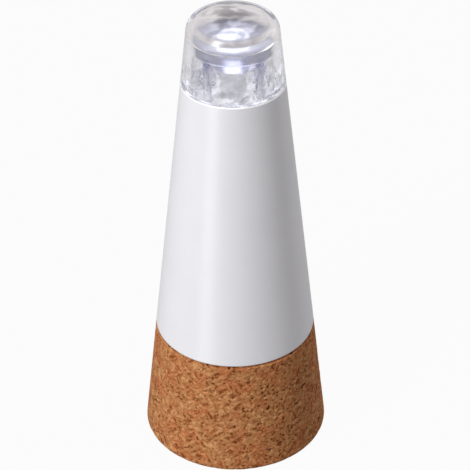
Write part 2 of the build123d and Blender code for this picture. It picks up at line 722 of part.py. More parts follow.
# Lamp package: square base on a round stem that lifts the lamp into the lens
with BuildPart() as led_package:
    with BuildSketch(Plane.XY.offset(led_board_top)):
        Circle(LED_STEM_RADIUS)
    extrude(amount=LED_STEM_HEIGHT)
    with BuildSketch(Plane.XY.offset(package_bottom)):
        RectangleRounded(LED_PACKAGE_WIDTH, LED_PACKAGE_WIDTH, LED_PACKAGE_CORNER)
    extrude(amount=LED_PACKAGE_HEIGHT)
led_package.part.label = "led_package"
export_step(led_package.part, "parts/led_package.step")

# Lamp phosphor: thin square on the package
with BuildPart() as led_phosphor:
    with BuildSketch(Plane.XY.offset(package_top)):
        Rectangle(LED_PHOSPHOR_WIDTH, LED_PHOSPHOR_WIDTH)
    extrude(amount=LED_PHOSPHOR_HEIGHT)
led_phosphor.part.label = "led_phosphor"
export_step(led_phosphor.part, "parts/led_phosphor.step")

# Lamp dome: clear half ball moulded over the phosphor
with BuildPart() as led_dome:
    with BuildSketch(Plane.XZ):
        with BuildLine():
            Line((0, package_top), (LED_DOME_RADIUS, package_top))
            CenterArc((0, package_top), LED_DOME_RADIUS, 0, 90)
            Line((0, package_top + LED_DOME_RADIUS), (0, package_top))
        make_face()
    revolve(axis=Axis.Z)
    with BuildSketch(Plane.XY.offset(package_top)):
        Rectangle(LED_PHOSPHOR_WIDTH, LED_PHOSPHOR_WIDTH)
    extrude(amount=LED_PHOSPHOR_HEIGHT, mode=Mode.SUBTRACT)
led_dome.part.label = "led_dome"
export_step(led_dome.part, "parts/led_dome.step")

# Collimator lens: funnel side, wide rim, recess in front, pocket behind and four legs to the board
lens_side_radius = lens_rim_radius - LENS_SIDE_STEP
recess_edge = lens_front - LENS_RECESS_DEPTH
pocket_edge = package_top + LED_DOME_RADIUS + LENS_POCKET_CLEARANCE
with BuildPart() as collimator_lens:
    with BuildSketch(Plane.XZ):
        with BuildLine():
            Line((lens_pocket, lens_rear), (LENS_REAR_RADIUS, lens_rear))
            SagittaArc(
                (LENS_REAR_RADIUS, lens_rear),
                (lens_side_radius, lens_rim_bottom),
                -LENS_SIDE_BULGE,
            )
            Polyline(
                (lens_side_radius, lens_rim_bottom),
                (lens_rim_radius, lens_rim_bottom),
                (lens_rim_radius, lens_front),
                (LENS_RECESS_RADIUS, lens_front),
                (LENS_RECESS_RADIUS, recess_edge),
            )
            TangentArc(
                (0, recess_edge + LENS_RECESS_CROWN),
                (LENS_RECESS_RADIUS, recess_edge),
                tangent=(1, 0),
            )
            Line((0, recess_edge + LENS_RECESS_CROWN), (0, pocket_edge))
            TangentArc(
                (0, pocket_edge),
                (lens_pocket, pocket_edge + LENS_POCKET_CROWN),
                tangent=(1, 0),
            )
            Line((lens_pocket, pocket_edge + LENS_POCKET_CROWN), (lens_pocket, lens_rear))
        make_face()
    revolve(axis=Axis.Z)
    with BuildSketch(Plane.XY.offset(led_board_top)):
        leg_circle = lens_rim_radius - LENS_LEG_RADIUS - LENS_LEG_EDGE
        with PolarLocations(leg_circle, LENS_LEG_COUNT, start_angle=LENS_LEG_ANGLE):
            Circle(LENS_LEG_RADIUS)
    extrude(amount=lens_rim_bottom - led_board_top)
collimator_lens.part.label = "collimator_lens"
export_step(collimator_lens.part, "parts/collimator_lens.step")

# Lens cap: clear tip of even wall with a spigot in the housing, a ledge over the lens and a domed roof
with BuildPart() as lens_cap:
    with BuildSketch(Plane.XZ) as cap_section:
        with BuildLine():
            TangentArc((0, cap_ceiling), (ceiling_radius, ceiling_edge), tangent=(1, 0))
            Polyline(
                (ceiling_radius, ceiling_edge),
                (ceiling_radius, cap_ledge),
                (ledge_radius, cap_ledge),
                (spigot_bore, housing_top),
                (spigot_bore, led_board_top),
                (spigot_radius, led_board_top),
                (spigot_radius, housing_top),
                (cone_radius(housing_top), housing_top),
                (cone_radius(tip), cap_shoulder),
            )
            TangentArc((0, tip), (cone_radius(tip), cap_shoulder), tangent=(1, 0))
            Line((0, tip), (0, cap_ceiling))
        make_face()
        cap_rounds = [
            ((ceiling_radius, ceiling_edge), CAP_CEILING_ROUND),
            ((cone_radius(tip), cap_shoulder), CAP_SHOULDER_ROUND),
        ]
        for corner, bend in cap_rounds:
            fillet(cap_section.vertices().sort_by_distance(corner)[0], bend)
    revolve(axis=Axis.Z)
lens_cap.part.label = "lens_cap"
export_step(lens_cap.part, "parts/lens_cap.step")
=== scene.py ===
"""Looks of the cork bottle light: cork base, white housing, clear lit tip and hidden plug."""

import math

import bmesh
import bpy
from bpy.props import FloatProperty, FloatVectorProperty, IntProperty, PointerProperty
from mathutils import Matrix, Vector, noise


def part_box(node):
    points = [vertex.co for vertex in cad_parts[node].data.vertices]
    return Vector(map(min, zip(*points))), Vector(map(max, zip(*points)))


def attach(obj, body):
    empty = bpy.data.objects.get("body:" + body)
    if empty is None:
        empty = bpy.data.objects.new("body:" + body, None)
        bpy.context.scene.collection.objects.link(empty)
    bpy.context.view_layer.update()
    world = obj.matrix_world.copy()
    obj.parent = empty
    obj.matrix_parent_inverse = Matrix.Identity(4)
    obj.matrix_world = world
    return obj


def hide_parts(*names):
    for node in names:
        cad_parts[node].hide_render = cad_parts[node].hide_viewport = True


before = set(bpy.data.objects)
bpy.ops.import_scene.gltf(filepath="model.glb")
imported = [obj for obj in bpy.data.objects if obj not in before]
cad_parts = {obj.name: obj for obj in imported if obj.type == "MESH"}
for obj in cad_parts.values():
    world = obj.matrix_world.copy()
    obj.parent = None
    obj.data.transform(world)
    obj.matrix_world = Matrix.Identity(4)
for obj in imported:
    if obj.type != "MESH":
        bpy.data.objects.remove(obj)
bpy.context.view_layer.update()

bl_info = {
    "name": "Cork Bottle Light",
    "version": (1, 0, 0),
    "blender": (4, 5, 0),
    "location": "View3D > Sidebar > Bottle Light",
    "description": "Dresses the packed bottle light and sets its studio stage",
    "category": "Object",
}

MM = 0.001

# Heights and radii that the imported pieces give
CORK_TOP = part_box("cork_sleeve")[1].z
LINER_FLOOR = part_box("cork_liner")[0].z
FLANGE_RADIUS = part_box("cork_liner")[1].x
HOUSING_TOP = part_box("housing_shell")[1].z
BOARD_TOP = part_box("led_board")[1].z
BOARD_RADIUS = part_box("led_board")[1].x
PACKAGE_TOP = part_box("led_package")[1].z
DOME_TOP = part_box("led_dome")[1].z
LENS_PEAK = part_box("collimator_lens")[1].z
LENS_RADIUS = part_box("collimator_lens")[1].x
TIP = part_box("lens_cap")[1].z
SEAM_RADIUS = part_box("lens_cap")[1].x

# Zones of the clear tip: heights, then distances from the axis, the recess and the lens's edge
STREAKS_END = HOUSING_TOP + 5 * MM
RIPPLES_END = TIP - 5 * MM
ROOF_START = TIP - 3 * MM
ROOF_EDGE = (3.2 * MM, 4.4 * MM)
SHOULDER = (3.6 * MM, 4.6 * MM)
# Bands of painted shade in the collimator: a ring past the recess and its rim
RING_BAND = (0.05 * MM, 0.55 * MM)
RIM_BAND = (0.6 * MM, 0.1 * MM)

# Zones that show the lamp's light: how far they pass a surface, and what they hold
SKIN = 0.02 * MM
BOARD_SKIN = 0.05 * MM
HOUSING_DEPTH = 1.2 * MM
RIM_DEPTH = 0.22 * MM
RIM_GLOW = 0.35
HALO_REACH = 2.7
GLOW_PATCH = 0.6 * MM
GLOW_STRETCH = (0.4, 0.4, 1)

# Patterns in the finishes: the usual range of a noise, widths, turns, stretches and reliefs
NOISE_RANGE = (0.3, 0.7)
CHIP_TURNS = ((0, 1.1, 0), (1.0, 0, 0.6), (-0.9, -0.5, 0))
CHIP_STRETCH = 3.0
CHIP_RELIEF = 0.06 * MM
DRIFT = 0.5 * MM
DRIFT_WIDTH = 0.7 * MM
RUDDY_WIDTH = 2.0 * MM
HAZE_WIDTH = 6 * MM
MOULD_WIDTH = 0.12 * MM
HARD_RELIEF = 0.01 * MM
SOFT_RELIEF = 0.02 * MM
ROLLED = (1, 1, 0.04)
TARNISH_WIDTH = 2.5 * MM
PHOSPHOR_WIDTH = 0.2 * MM
PHOSPHOR_STIR = 0.3 * MM
FLOW_WIDTH = 1.8 * MM
STREAK_WIDTH = 1.2 * MM
STREAK_TURN = (0.5, 0.9, 0)
STREAK_STRETCH = 2.5
# Clouds: the pattern of the painted shade on the tip's roof
CLOUD_WIDTH = 1.6 * MM
CLOUD_STRETCH = (0.8, 1, 1)

# Hollows in the cork: how fine and steep they are, and how near an edge they start
GRAIN_SQUASH = 1.5
PORE_FINENESS = 1.9
PORE_SHIFT = Vector((31.7, 8.2, 4.4))
PORE_STEEPNESS = 5.0
TEAR_FINENESS = 5.1
TEAR_SHARE = 0.5
SIDE_MARGIN = 0.1 * MM
HOLLOW_MARGIN = 0.2 * MM
SOLE_MARGIN = 0.1 * MM

# Shares in the clear sections: of a round inside a dome's end, and of a corner's leg in a bend
SHOULDER_SHARE = 0.75
FUNNEL_SHARE = 0.98
POCKET_SHARE = 0.5
CROWN_SHARE = 0.55
CROWN_BEND = 1.4


def length(name, description, default):
    """A size property in metres."""
    return FloatProperty(
        name=name, description=description, default=default, precision=5, unit="LENGTH"
    )


def spot(name, description, default):
    """A place in metres."""
    return FloatVectorProperty(
        name=name,
        description=description,
        default=default,
        size=3,
        precision=5,
        subtype="TRANSLATION",
    )


def angle(name, description, default):
    """An angle in radians, shown in degrees."""
    return FloatProperty(name=name, description=description, default=default, subtype="ANGLE")


def colour(name, description, default):
    """A colour property, in linear light."""
    return FloatVectorProperty(
        name=name, description=description, default=default, size=3, min=0, max=1, subtype="COLOR"
    )


def share(name, description, default, top=1.0):
    """A plain number from nought to a top value."""
    return FloatProperty(name=name, description=description, default=default, min=0, max=top)


def count(name, description, default, low, high):
    """A whole number between two limits."""
    return IntProperty(name=name, description=description, default=default, min=low, max=high)


class CorkSettings(bpy.types.PropertyGroup):
    """Sizes and colours of the agglomerated cork."""

    foot_round: length("Foot round", "Radius of the cork's foot edge", 0.5 * MM)
    rim_round: length("Rim round", "Radius of the cork's upper edge", 0.2 * MM)
    bore_radius: length("Bore radius", "Radius of the bore that the liner is glued into", 8.66 * MM)
    flange_drop: length("Flange drop", "Depth of the step for the liner's flange", 1.0 * MM)
    flange_gap: length("Flange gap", "Glue gap round the liner's flange", 0.05 * MM)
    grain: length("Grain", "Usual width of one cork grain", 1.2 * MM)
    chip: length("Chip", "Usual width of one chip in a grain", 0.4 * MM)
    speck: length("Speck", "Usual width of one speck on the chips", 0.2 * MM)
    dip_depth: length("Dip depth", "Depth of the shallow dips", 0.06 * MM)
    pore_depth: length("Pore depth", "Depth of the torn pores", 0.2 * MM)
    pore_rarity: share("Pore rarity", "Share of the noise that leaves no pore", 0.52)
    facets: count("Facets", "Steps in one full turn", 600, 24, 1024)
    side_cuts: count("Side cuts", "Cuts up the cork's side", 108, 1, 400)
    sole_cuts: count("Sole cuts", "Cuts from the middle of the sole to its edge", 24, 1, 200)
    pale: colour("Pale grain", "Colour of the palest chips", (0.645, 0.34, 0.15))
    middle: colour("Middle grain", "Colour of most chips", (0.46, 0.194, 0.074))
    dark: colour("Dark grain", "Colour of bark-rich chips", (0.2, 0.06, 0.014))
    ruddy: colour("Ruddy patches", "Tint of the redder patches", (0.98, 0.82, 0.8))
    # Pores: their own dark lining plus painted shade that deepens with the pit
    pore: colour("Pore", "Colour inside the pores", (0.09, 0.028, 0.009))


class TipSettings(bpy.types.PropertyGroup):
    """Form of the clear tip, its collimator and its lamp dome."""

    taper: angle("Taper", "Slope of the cone over cork, housing and tip", math.radians(6.2))
    crown_radius: length("Crown radius", "Radius of the domed roof", 11.3 * MM)
    shoulder_round: length("Shoulder round", "Radius between side and roof", 1.7 * MM)
    ceiling_radius: length("Ceiling radius", "Radius of the roof's domed inside", 11.0 * MM)
    ceiling_round: length("Ceiling round", "Radius at the edge of the roof's inside", 0.7 * MM)
    ceiling_rise: length("Ceiling rise", "Height of the roof's inside over the ledge", 1.5 * MM)
    ledge_width: length("Ledge width", "Width of the ledge over the collimator's rim", 0.4 * MM)
    rim_gap: length("Rim gap", "Air round the collimator's rim", 0.05 * MM)
    spigot_gap: length("Spigot gap", "How much wider the spigot is than the lamp board", 0.05 * MM)
    spigot_wall: length("Spigot wall", "Thickness of the spigot", 0.35 * MM)
    lens_lift: length("Lens lift", "Height of the collimator over the lamp base", 0.2 * MM)
    rear_radius: length("Rear radius", "Radius of the collimator's rear edge", 2.45 * MM)
    pocket_radius: length("Pocket radius", "Radius of the collimator's rear pocket", 1.85 * MM)
    pocket_gap: length("Pocket gap", "Air between lamp dome and pocket", 0.35 * MM)
    pocket_crown: length("Pocket crown", "How far the pocket's roof bulges down", 0.5 * MM)
    side_step: length("Side step", "How far the rim stands out from the funnel", 0.35 * MM)
    side_bulge: length("Side bulge", "Rise of the funnel's side over its chord", 0.5 * MM)
    rim_thickness: length("Rim thickness", "Height of the collimator's rim", 1.4 * MM)
    recess_radius: length("Recess radius", "Radius of the collimator's front recess", 1.8 * MM)
    recess_depth: length("Recess depth", "Depth of the recess at its edge", 0.9 * MM)
    recess_crown: length("Recess crown", "Rise of the lens in the recess", 1.0 * MM)
    leg_radius: length("Leg radius", "Radius of each leg under the rim", 0.5 * MM)
    leg_edge: length("Leg edge", "Distance from the legs to the rim's edge", 0.1 * MM)
    leg_gap: length("Leg gap", "How much shorter each leg is than the room for it", 0.02 * MM)
    leg_count: count("Legs", "Number of legs under the rim", 4, 2, 6)
    facets: count("Facets", "Steps in one full turn", 192, 24, 512)


class LampSettings(bpy.types.PropertyGroup):
    """Colour and strength of the lit lamp, and the clear plastic that it lights."""

    glow: colour("Glow", "Colour of the lit lamp", (0.86, 0.9, 1.0))
    side: colour("Side glow", "Colour of the lit lamp half way up", (0.42, 0.44, 0.62))
    dim: colour("Dim glow", "Colour of the lit lamp at its foot", (0.2, 0.2, 0.34))
    strength: share("Strength", "Strength of the lit lamp", 2.4, top=200.0)
    spill: share("Spill", "Strength of the lamp's light round it", 0.85, top=10.0)
    spill_tone: colour("Spill tone", "Colour of the lamp's light round it", (0.93, 0.93, 0.98))
    stem_spill: share("Stem spill", "Strength of the lamp's light on its stem", 0.33, top=10.0)
    crown_glow: share("Crown glow", "Strength of the light from the collimator", 2.0, top=10.0)
    crown_halo: share("Crown halo", "Share of that light round the recess", 0.28)
    phosphor: colour("Phosphor", "Palest colour of the phosphor", (0.26, 0.24, 0.16))
    phosphor_dark: colour("Dark phosphor", "Darkest colour of the phosphor", (0.2, 0.17, 0.1))
    ceramic: colour("Ceramic", "Colour of the lamp's base", (0.8, 0.8, 0.78))
    mask: colour("White mask", "Colour of the lamp board", (0.82, 0.82, 0.8))
    clear: colour("Clear plastic", "Tint of the clear plastic", (0.92, 0.92, 0.945))
    collimator: colour("Collimator", "Tint of the collimator's plastic", (0.68, 0.68, 0.85))
    # Colour of the painted shade in the clear plastic: edge on, in rings, on the rim, in roof
    # clouds and low streaks
    edge: colour("Clear edge", "Tint of the clear plastic edge on", (0.15, 0.15, 0.18))


class PlasticSettings(bpy.types.PropertyGroup):
    """Colours of the moulded plastics."""

    white: colour("White", "Colour of the white mouldings", (0.84, 0.84, 0.88))
    grey: colour("Grey", "Colour of the grey mouldings", (0.15, 0.155, 0.165))
    black: colour("Black", "Colour of the black mouldings", (0.012, 0.012, 0.013))


class MetalSettings(bpy.types.PropertyGroup):
    """Colours of the plated metals."""

    nickel: colour("Nickel", "Colour of the bright nickel plating", (0.72, 0.72, 0.73))
    gold: colour("Gold", "Colour of the contacts' gold flash", (0.83, 0.6, 0.24))
    dull: colour("Dull nickel", "Colour of the cell's welded tabs", (0.55, 0.54, 0.51))


class InsideSettings(bpy.types.PropertyGroup):
    """Colours of the base board, the cell and the leads."""

    mask: colour("Green mask", "Colour of the base board", (0.012, 0.11, 0.045))
    chip: colour("Chip ceramic", "Colour of the small parts on the board", (0.3, 0.2, 0.12))
    wrap: colour("Shrink wrap", "Colour of the cell's wrap", (0.022, 0.095, 0.23))
    foam: colour("Foam", "Colour of the foam pad", (0.02, 0.02, 0.02))
    red: colour("Red lead", "Colour of the red insulation", (0.4, 0.012, 0.01))
    black: colour("Black lead", "Colour of the black insulation", (0.012, 0.012, 0.012))


class StageSettings(bpy.types.PropertyGroup):
    """Camera, lamps and floor."""

    distance: length("Distance", "From the camera to the point it looks at", 255.0 * MM)
    elevation: angle("Elevation", "Angle of the camera above the horizon", math.radians(34.72))
    roll: angle("Roll", "Turn of the camera about its axis", -0.00735)
    aim_height: length("Aim height", "Height of the point that the camera looks at", 30.17 * MM)
    aside: length("Aside", "How far the camera stands to the right", 0.08 * MM)
    lens: share("Lens", "Focal length in millimetres", 148.8, top=1000.0)
    key_power: share("Key power", "Power of the key lamp in watts", 5.95, top=1000.0)
    key_place: spot("Key place", "Where the key lamp stands", (-0.445, -0.467, 0.48))
    key_width: length("Key width", "Width of the key lamp", 0.26)
    key_height: length("Key height", "Height of the key lamp", 0.55)
    fill_power: share("Fill power", "Power of the fill lamp in watts", 0.85, top=1000.0)
    fill_place: spot("Fill place", "Where the fill lamp stands", (0.5, 0.22, 0.3))
    fill_width: length("Fill width", "Width of the fill lamp", 0.3)
    fill_height: length("Fill height", "Height of the fill lamp", 0.5)
    room: share("Room light", "Strength of the even light from the room", 0.26, top=10.0)
    room_tone: colour("Room tone", "Colour of that light", (1.0, 0.955, 0.94))
    gloss: share("Gloss light", "Strength of the room in gloss and clear plastic", 0.8, top=10.0)
    floor_tone: colour("Floor tone", "Colour of the floor", (0.22, 0.22, 0.22))
    floor_seen: share("Floor seen", "How white the floor is to the camera", 0.96)
    floor_glossed: share("Floor glossed", "How white the floor is in gloss", 0.72)
    floor_size: length("Floor size", "Half the floor's width", 3.0)
    floor_gap: length("Floor gap", "How far the floor lies under the cork's sole", 0.02 * MM)
    bounces: count("Bounces", "Bounces that light makes in the tip", 32, 4, 128)


class BottleLightSettings(bpy.types.PropertyGroup):
    """All settings of the bottle light."""

    cork: PointerProperty(type=CorkSettings)
    tip: PointerProperty(type=TipSettings)
    lamp: PointerProperty(type=LampSettings)
    plastic: PointerProperty(type=PlasticSettings)
    metal: PointerProperty(type=MetalSettings)
    inside: PointerProperty(type=InsideSettings)
    stage: PointerProperty(type=StageSettings)


class Signal:
    """A shader socket that adds Math nodes when it is used in an expression."""

    def __init__(self, shading, socket):
        self.shading = shading
        self.socket = socket

    def math(self, operation, first, second):
        return self.shading.node("ShaderNodeMath", {"operation": operation}, {0: first, 1: second})

    def __add__(self, other):
        return self.math("ADD", self, other)

    __radd__ = __add__

    def __sub__(self, other):
        return self.math("SUBTRACT", self, other)

    def __rsub__(self, other):
        return self.math("SUBTRACT", other, self)

    def __mul__(self, other):
        return self.math("MULTIPLY", self, other)

    __rmul__ = __mul__

    def __gt__(self, other):
        return self.math("GREATER_THAN", self, other)

    def __lt__(self, other):
        return self.math("LESS_THAN", self, other)


class Shading:
    """The node tree of a material or a world while it is built."""

    def __init__(self, owner):
        owner.use_nodes = True
        self.tree = owner.node_tree

    def find(self, kind):
        return next(node for node in self.tree.nodes if node.bl_idname == kind)

    def fill(self, node, inputs):
        """Links or sets a node's sockets."""
        for key, value in inputs.items():
            if isinstance(value, Signal):
                self.tree.links.new(value.socket, node.inputs[key])
            else:
                node.inputs[key].default_value = value

    def node(self, kind, settings=None, inputs=None, output=0):
        """Adds a node, sets its settings, then its sockets, and gives one of its outputs."""
        node = self.tree.nodes.new(kind)
        for name, value in (settings or {}).items():
            if name == "stops":
                self.stops(node.color_ramp, value)
            else:
                setattr(node, name, value)
        self.fill(node, inputs or {})
        return Signal(self, node.outputs[output])

    def stops(self, ramp, stops):
        while len(ramp.elements) < len(stops):
            ramp.elements.new(0.5)
        for element, (position, shade) in zip(ramp.elements, stops):
            element.position = position
            element.color = (*shade, 1)

    def place(self, scale=(1, 1, 1)):
        """Object coordinates, stretched by a scale."""
        coordinates = self.node("ShaderNodeTexCoord", output="Object")
        return self.node("ShaderNodeMapping", inputs={"Vector": coordinates, "Scale": scale})

    def noise(self, vector, size, detail=2.0, output="Fac"):
        """Cloudy noise with features of about one size in metres."""
        inputs = {"Vector": vector, "Scale": 1 / size, "Detail": detail}
        return self.node("ShaderNodeTexNoise", inputs=inputs, output=output)

    def cells(self, vector, size, output):
        """Voronoi cells of about one size in metres."""
        inputs = {"Vector": vector, "Scale": 1 / size}
        return self.node("ShaderNodeTexVoronoi", inputs=inputs, output=output)

    def height(self):
        return self.node("ShaderNodeSeparateXYZ", inputs={"Vector": self.place()}, output="Z")

    def reach(self):
        """Distance from the upright axis."""
        level = {0: self.place((1, 1, 0))}
        return self.node("ShaderNodeVectorMath", {"operation": "LENGTH"}, level, "Value")

    def sight(self):
        """One for what the camera sees straight on, and one for gloss and clear plastic."""
        path = "ShaderNodeLightPath"
        glossy = self.node(path, output="Is Glossy Ray")
        through = self.node(path, output="Is Transmission Ray")
        return self.node(path, output="Is Camera Ray"), glossy + through > 0.5

    def streaks(self, vector, turn, size, stretch):
        """Noise drawn out along one direction."""
        inputs = {"Vector": vector, "Rotation": turn, "Scale": (1, 1, stretch)}
        return self.noise(self.node("ShaderNodeMapping", {"vector_type": "TEXTURE"}, inputs), size)

    def ramp(self, value, *stops):
        return self.node("ShaderNodeValToRGB", {"stops": stops}, {"Fac": value}, "Color")

    def level(self, value, low, high, to_low=0.0, to_high=1.0):
        """A value brought from one range to another, held at its ends."""
        inputs = {0: value, 1: low, 2: high, 3: to_low, 4: to_high}
        return self.node("ShaderNodeMapRange", inputs=inputs)

    def vary(self, pattern, low, high):
        """A noise brought from its usual range to another."""
        return self.level(pattern, *NOISE_RANGE, low, high)

    def blend(self, factor, first, second, mode="MIX"):
        """Two colours mixed by a factor."""
        inputs = {0: factor, 6: rgba(first), 7: rgba(second)}
        return self.node("ShaderNodeMix", {"data_type": "RGBA", "blend_type": mode}, inputs, 2)

    def split(self, shade, channel):
        return self.node("ShaderNodeSeparateColor", inputs={"Color": shade}, output=channel)

    def bump(self, height, strength, distance):
        inputs = {"Height": height, "Strength": strength, "Distance": distance}
        return self.node("ShaderNodeBump", inputs=inputs)


def rgba(shade):
    """A colour with full alpha, or a socket as it is."""
    return shade if isinstance(shade, Signal) else (*shade, 1)


def deepen(shade, share_left):
    """A colour at a share of its brightness."""
    return tuple(share_left * part for part in shade)


def finish(name, constants=None):
    """A new material, its shading and its Principled shader with constant sockets set."""
    material = bpy.data.materials.new(name)
    shading = Shading(material)
    shader = shading.find("ShaderNodeBsdfPrincipled")
    shading.fill(shader, constants or {})
    return material, shading, shader


def cork_finish(cork):
    """Chips that lie all ways in differing browns, with dark pores (own colour plus painted shade)
    and a dry, uneven surface.
    """
    material, shading, shader = finish("agglomerated_cork", {"Specular IOR Level": 0.08})
    place = shading.place()
    drift = shading.noise(place, DRIFT_WIDTH, output="Color")
    shaken = shading.node(
        "ShaderNodeVectorMath",
        {"operation": "MULTIPLY_ADD"},
        {0: drift, 1: (DRIFT,) * 3, 2: place},
    )
    grain = shading.cells(shaken, cork.grain, "Color")
    kind = shading.split(grain, "Red")
    lies = [shading.streaks(shaken, turn, cork.chip, CHIP_STRETCH) for turn in CHIP_TURNS]
    low, high = kind < 0.33, kind > 0.67
    chip = low * lies[0] + high * lies[1] + (1 - low - high) * lies[2]
    speck = shading.vary(shading.noise(place, cork.speck, detail=3.0), 0.0, 1.0)
    spread = shading.level(chip, 0.32, 0.68)
    tone = 0.62 * spread + 0.14 * shading.split(grain, "Green") + 0.24 * speck
    shade = shading.ramp(
        tone, (0.2, cork.dark), (0.44, cork.middle), (0.56, cork.middle), (0.82, cork.pale)
    )
    patch = shading.noise(shaken, RUDDY_WIDTH, detail=1.0)
    shade = shading.blend(shading.level(patch, 0.46, 0.62), shade, cork.ruddy, "MULTIPLY")
    # Pores darken with their depth: their own dark lining plus painted shade in the pit
    hollow = shading.node("ShaderNodeAttribute", {"attribute_name": "hollow"}, output="Fac")
    shade = shading.blend(shading.level(hollow, 0.1, 0.85), shade, cork.pore)
    shading.fill(
        shader,
        {
            "Base Color": shade,
            "Roughness": shading.level(tone, 0.2, 0.9, 0.85, 0.68),
            "Normal": shading.bump(tone, 0.35, CHIP_RELIEF),
        },
    )
    return material


def moulded_finish(name, shade, roughness, texture, coat=0.0, turned=0.0):
    """Moulded plastic: faint clouding in the colour and a fine moulded texture."""
    gloss = {"Coat Roughness": 0.04, "IOR": 1.5}
    brush = {"Anisotropic": turned, "Anisotropic Rotation": 0.25}
    material, shading, shader = finish(name, {**gloss, **brush})
    place = shading.place()
    haze = shading.noise(place, HAZE_WIDTH, detail=3.0)
    grain = shading.noise(place, MOULD_WIDTH)
    shading.fill(
        shader,
        {
            "Base Color": shading.blend(haze, deepen(shade, 0.93), shade),
            "Roughness": shading.vary(grain, roughness - 0.04, roughness + 0.04),
            "Coat Weight": shading.vary(haze, 0.9 * coat, coat),
            "Normal": shading.bump(grain, texture, HARD_RELIEF),
        },
    )
    return material


def clear_finish(name, lamp, tint, ripple, blur, streak_bump_and_shade=0.0, roof_cloud_shade=0.0, ring=None):
    """Clear plastic with painted shade edge on, in rings, roof clouds and low streaks; with flow
    ripples.
    """
    material, shading, shader = finish(name, {"Transmission Weight": 1.0, "IOR": 1.49})
    place, height, away = shading.place(), shading.height(), shading.reach()
    flow = shading.noise(place, FLOW_WIDTH, detail=0.6)
    streak = shading.streaks(place, STREAK_TURN, STREAK_WIDTH, STREAK_STRETCH)
    low = shading.level(height, HOUSING_TOP, STREAKS_END, 1.0, 0.0)
    calm = shading.level(height, RIPPLES_END, ROOF_START, 1.0, 0.2)
    shoulder = (1 - calm) * shading.level(away, *SHOULDER)
    # Painted shade edge on: partly the longer path through the plastic, partly refracted shade
    facing = shading.node("ShaderNodeLayerWeight", inputs={"Blend": 0.5}, output="Facing")
    edge_absorption_and_shade = shading.level(facing, 0.6, 1.0)
    if ring:
        # Painted shade: a dark ring just past the recess and a darker rim at the lens's edge
        painted_ring_shade = (away > ring + RING_BAND[0]) * (away < ring + RING_BAND[1])
        rim = shading.level(away, LENS_RADIUS - RIM_BAND[0], LENS_RADIUS - RIM_BAND[1])
        shadow = (edge_absorption_and_shade + 0.45 * painted_ring_shade + 0.6 * rim) * (1 - low)
    else:
        # Painted shade in clouds on the roof
        roof = (1 - calm) * shading.level(away, *ROOF_EDGE, 1.0, 0.0)
        cloud = shading.noise(shading.place(CLOUD_STRETCH), CLOUD_WIDTH, detail=1.0)
        painted_roof_clouds = roof_cloud_shade * roof * shading.level(cloud, 0.46, 0.6)
        # Painted shade in low streaks; the same streaks also bump the surface
        shadow = edge_absorption_and_shade + painted_roof_clouds + 0.6 * streak_bump_and_shade * low * shading.level(streak, 0.46, 0.62)
    haze = shading.vary(flow, blur, 1.6 * blur) * (1 - 0.8 * low)
    body = shading.blend(low + 0.1 * flow, tint, lamp.clear)
    shading.fill(
        shader,
        {
            "Base Color": shading.blend(shadow, body, lamp.edge),
            "Roughness": haze + 0.14 * shoulder,
            "Normal": shading.bump(calm * flow + 3.0 * streak_bump_and_shade * low * streak, 0.35, ripple),
        },
    )
    return material


def plated_finish(name, shade, roughness, streak):
    """Plated sheet metal with fine rolling streaks along its height."""
    material, shading, shader = finish(name, {"Metallic": 1.0})
    streaks = shading.noise(shading.place(ROLLED), streak, detail=3.0)
    tarnish = shading.noise(shading.place(), TARNISH_WIDTH, detail=3.0)
    shading.fill(
        shader,
        {
            "Base Color": shading.blend(0.6 * tarnish + 0.3 * streaks, shade, deepen(shade, 0.8)),
            "Roughness": shading.vary(streaks, roughness - 0.06, roughness + 0.08),
            "Normal": shading.bump(streaks, 0.15, HARD_RELIEF),
        },
    )
    return material


def lamp_finish(lamp):
    """Lit phosphor and dome: dim at the foot and brightest at the top."""
    material, shading, shader = finish("lit_phosphor", {"Emission Strength": lamp.strength})
    speck = shading.noise(shading.place(), PHOSPHOR_WIDTH, detail=3.0)
    rise = shading.level(shading.height() + PHOSPHOR_STIR * speck, PACKAGE_TOP, DOME_TOP)
    glow = shading.ramp(rise, (0.0, lamp.dim), (0.5, lamp.side), (0.9, lamp.glow))
    shading.fill(
        shader,
        {
            "Base Color": shading.blend(speck, lamp.phosphor_dark, lamp.phosphor),
            "Emission Color": glow,
            "Roughness": shading.vary(speck, 0.6, 0.8),
        },
    )
    return material


def light_up(material, glow, strength, low, reach, halo=0.0, rim=None):
    """Shows the lamp's light above a height: near the axis, in a halo beyond and on a rim."""
    shading = Shading(material)
    height, away = shading.height(), shading.reach()
    patch = shading.noise(shading.place(GLOW_STRETCH), GLOW_PATCH)
    fading = shading.level(away, 0, reach, 1.0, 0.6) * shading.level(patch, 0.35, 0.65, 0.6, 1.1)
    beyond = halo * (away > reach) * shading.level(away, reach, HALO_REACH * reach, 1.0, 0.0)
    lit = (height > low) * ((away < reach) * fading + beyond)
    if rim:
        lit = lit + RIM_GLOW * (height > rim) * (away > reach)
    shading.fill(
        shading.find("ShaderNodeBsdfPrincipled"),
        {"Emission Color": shading.blend(lit, (0, 0, 0), glow), "Emission Strength": strength},
    )


def soft_finish(name, shade, size, roughness):
    """Rubbery or fibrous surface with mottled colour."""
    material, shading, shader = finish(name, {"Specular IOR Level": 0.35})
    mottle = shading.noise(shading.place(), size, detail=4.0)
    shading.fill(
        shader,
        {
            "Base Color": shading.blend(mottle, deepen(shade, 0.7), shade),
            "Roughness": shading.vary(mottle, roughness - 0.08, roughness + 0.1),
            "Normal": shading.bump(mottle, 0.25, SOFT_RELIEF),
        },
    )
    return material


def cone_radius(height):
    """Radius of the outer cone at a height above the table."""
    taper = bpy.context.scene.bottle_light.tip.taper
    return SEAM_RADIUS + (HOUSING_TOP - height) * math.tan(taper)


